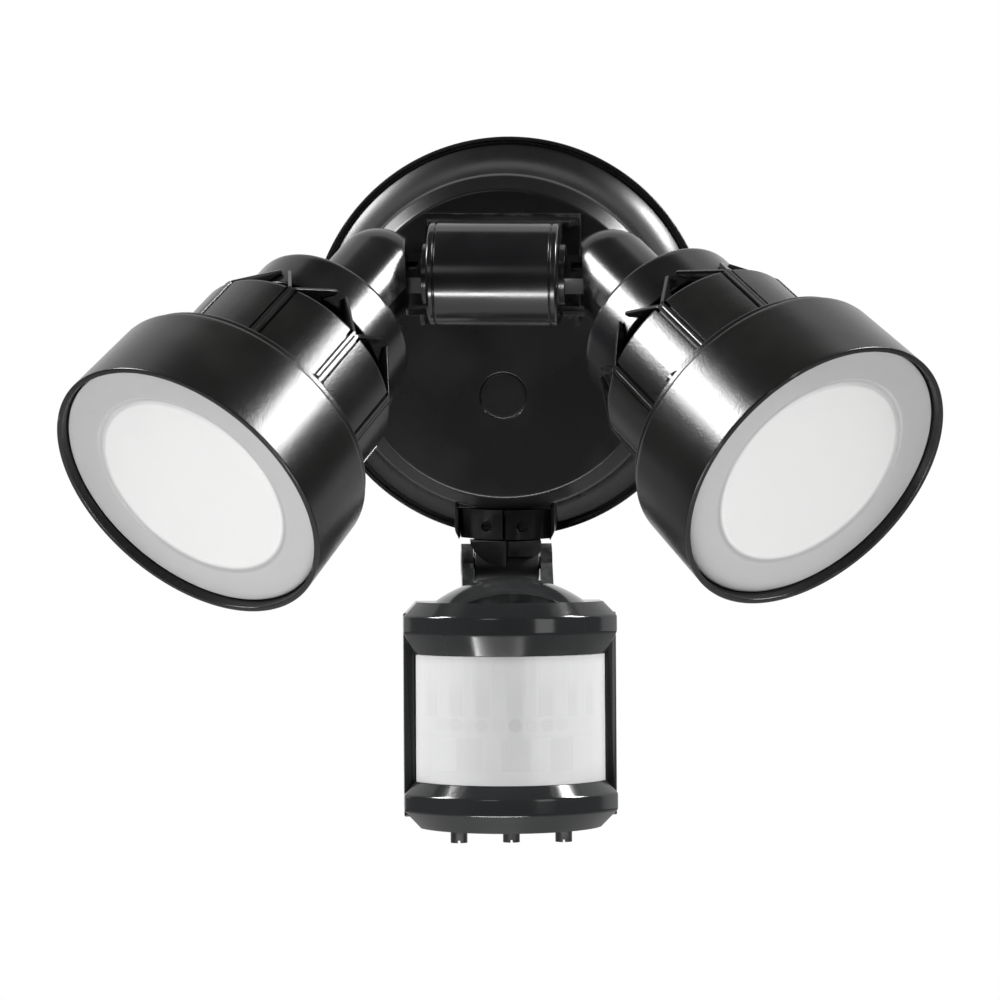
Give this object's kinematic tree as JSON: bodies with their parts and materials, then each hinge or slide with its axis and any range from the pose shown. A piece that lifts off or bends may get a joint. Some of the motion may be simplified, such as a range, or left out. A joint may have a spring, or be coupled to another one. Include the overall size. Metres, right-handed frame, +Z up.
{
  "type": "motion sensor security light",
  "caption": "Outdoor wall light with a round canopy, swivelling lamp heads with opal diffusers, and a motion sensor on a tilting swivel below.",
  "frame": {"origin": "centre of the canopy's gasket on the wall", "axes": "+Z up, -Y out of the wall towards the viewer, +X to the viewer's right"},
  "size_m": [0.2488, 0.1674, 0.216],
  "materials": {
    "canopy_black": "satin black, moulded",
    "block_black": "semi-gloss black, moulded",
    "elbow_black": "satin black, moulded",
    "clamp_grey": "satin dark grey, moulded",
    "head_black": "die-cast, satin black powder coat with a fine fleck",
    "diffuser_opal": "opal white, satin",
    "reflector_white": "white, semi-gloss",
    "spreader_alu": "bare sheet",
    "board_white": "white solder mask",
    "board_green": "green solder mask",
    "sensor_grey": "satin charcoal, moulded",
    "lens_white": "milky white film, satin",
    "adjuster_black": "matte black, moulded",
    "pot_blue": "blue, moulded",
    "screw_steel": "zinc plated",
    "screw_black": "black oxide",
    "bracket_steel": "galvanised sheet",
    "earth_green": "green dyed",
    "seal_rubber": "matte",
    "gasket_foam": "closed-cell foam",
    "connector_yellow": "yellow, moulded",
    "detector_can": "nickel plated can",
    "photocell_tan": "resin-coated"
  },
  "bodies": {
    "canopy": {"wall_gasket": "gasket_foam", "canopy_cover": "canopy_black", "hole_plug": "canopy_black", "canopy_bolt": "screw_steel", "crossbar_bracket": "bracket_steel", "ground_screw": "earth_green", "lamp_block": "block_black", "barrel_cover": "block_black", "block_screws": "screw_steel", "driver_board": "board_green", "board_posts": "canopy_black", "wire_connectors": "connector_yellow", "swivel_clamp_left": "clamp_grey", "swivel_clamp_right": "clamp_grey", "clamp_screws": "screw_black"},
    "left_hub": {"left_tilt_hub": "elbow_black", "left_hub_nut": "screw_steel", "left_hub_seal": "seal_rubber"},
    "left_head": {"left_pivot_pin": "screw_steel", "left_elbow": "elbow_black", "left_collar": "elbow_black", "left_elbow_screws": "screw_steel", "left_ribbed_sleeve": "head_black", "left_housing_screws": "screw_black", "left_drum": "head_black", "left_diffuser": "diffuser_opal", "left_lens_gasket": "seal_rubber", "left_heat_spreader": "spreader_alu", "left_led_board": "board_white", "left_reflector": "reflector_white"},
    "right_hub": {"right_tilt_hub": "elbow_black", "right_hub_nut": "screw_steel", "right_hub_seal": "seal_rubber"},
    "right_head": {"right_pivot_pin": "screw_steel", "right_elbow": "elbow_black", "right_collar": "elbow_black", "right_elbow_screws": "screw_steel", "right_ribbed_sleeve": "head_black", "right_housing_screws": "screw_black", "right_drum": "head_black", "right_diffuser": "diffuser_opal", "right_lens_gasket": "seal_rubber", "right_heat_spreader": "spreader_alu", "right_led_board": "board_white", "right_reflector": "reflector_white"},
    "sensor_swivel": {"sensor_knuckle": "adjuster_black", "tilt_bolt": "screw_black", "tilt_nut": "screw_black"},
    "sensor_head": {"sensor_front_frame": "sensor_grey", "sensor_lens": "lens_white", "sensor_rear_shell": "sensor_grey", "shell_screws": "screw_steel", "sensor_top_cap": "sensor_grey", "sensor_board": "board_green", "pir_detector": "detector_can", "photocell": "photocell_tan", "adjuster_pots": "pot_blue"},
    "time_knob": {"time_adjuster": "adjuster_black"},
    "range_knob": {"range_adjuster": "adjuster_black"},
    "dusk_knob": {"dusk_adjuster": "adjuster_black"}
  },
  "joints": [
    {"name": "left_tilt", "type": "hinge", "parent": "canopy", "child": "left_hub", "pos_m": [-0.0165, -0.06, 0.024], "axis": [1, 0, 0], "range_deg": [-55, 25]},
    {"name": "left_splay", "type": "hinge", "parent": "left_hub", "child": "left_head", "pos_m": [-0.035, -0.06, 0.024], "axis": [0, 0.5793, -0.8151], "range_deg": [-16.8, 35.2]},
    {"name": "right_tilt", "type": "hinge", "parent": "canopy", "child": "right_hub", "pos_m": [0.0165, -0.06, 0.024], "axis": [1, 0, 0], "range_deg": [-55, 25]},
    {"name": "right_splay", "type": "hinge", "parent": "right_hub", "child": "right_head", "pos_m": [0.035, -0.06, 0.024], "axis": [0, -0.5793, 0.8151], "range_deg": [-26.3, 25.7]},
    {"name": "sensor_swivel_turn", "type": "hinge", "parent": "canopy", "child": "sensor_swivel", "pos_m": [0, -0.015, -0.057], "axis": [0, 0, 1], "range_deg": [-31.1, 16.9]},
    {"name": "sensor_tilt", "type": "hinge", "parent": "sensor_swivel", "child": "sensor_head", "pos_m": [0, -0.015, -0.0705], "axis": [0.9923, 0.1236, 0], "range_deg": [-30, 12]},
    {"name": "time_turn", "type": "hinge", "parent": "sensor_head", "child": "time_knob", "pos_m": [-0.01179, -0.0514, -0.14528], "axis": [-0.0178, 0.1432, 0.9895], "range_deg": [-135, 135]},
    {"name": "range_turn", "type": "hinge", "parent": "sensor_head", "child": "range_knob", "pos_m": [0.00428, -0.04939, -0.14528], "axis": [-0.0178, 0.1432, 0.9895], "range_deg": [-135, 135]},
    {"name": "dusk_turn", "type": "hinge", "parent": "sensor_head", "child": "dusk_knob", "pos_m": [0.02036, -0.04739, -0.14528], "axis": [-0.0178, 0.1432, 0.9895], "range_deg": [-135, 135]}
  ]
}
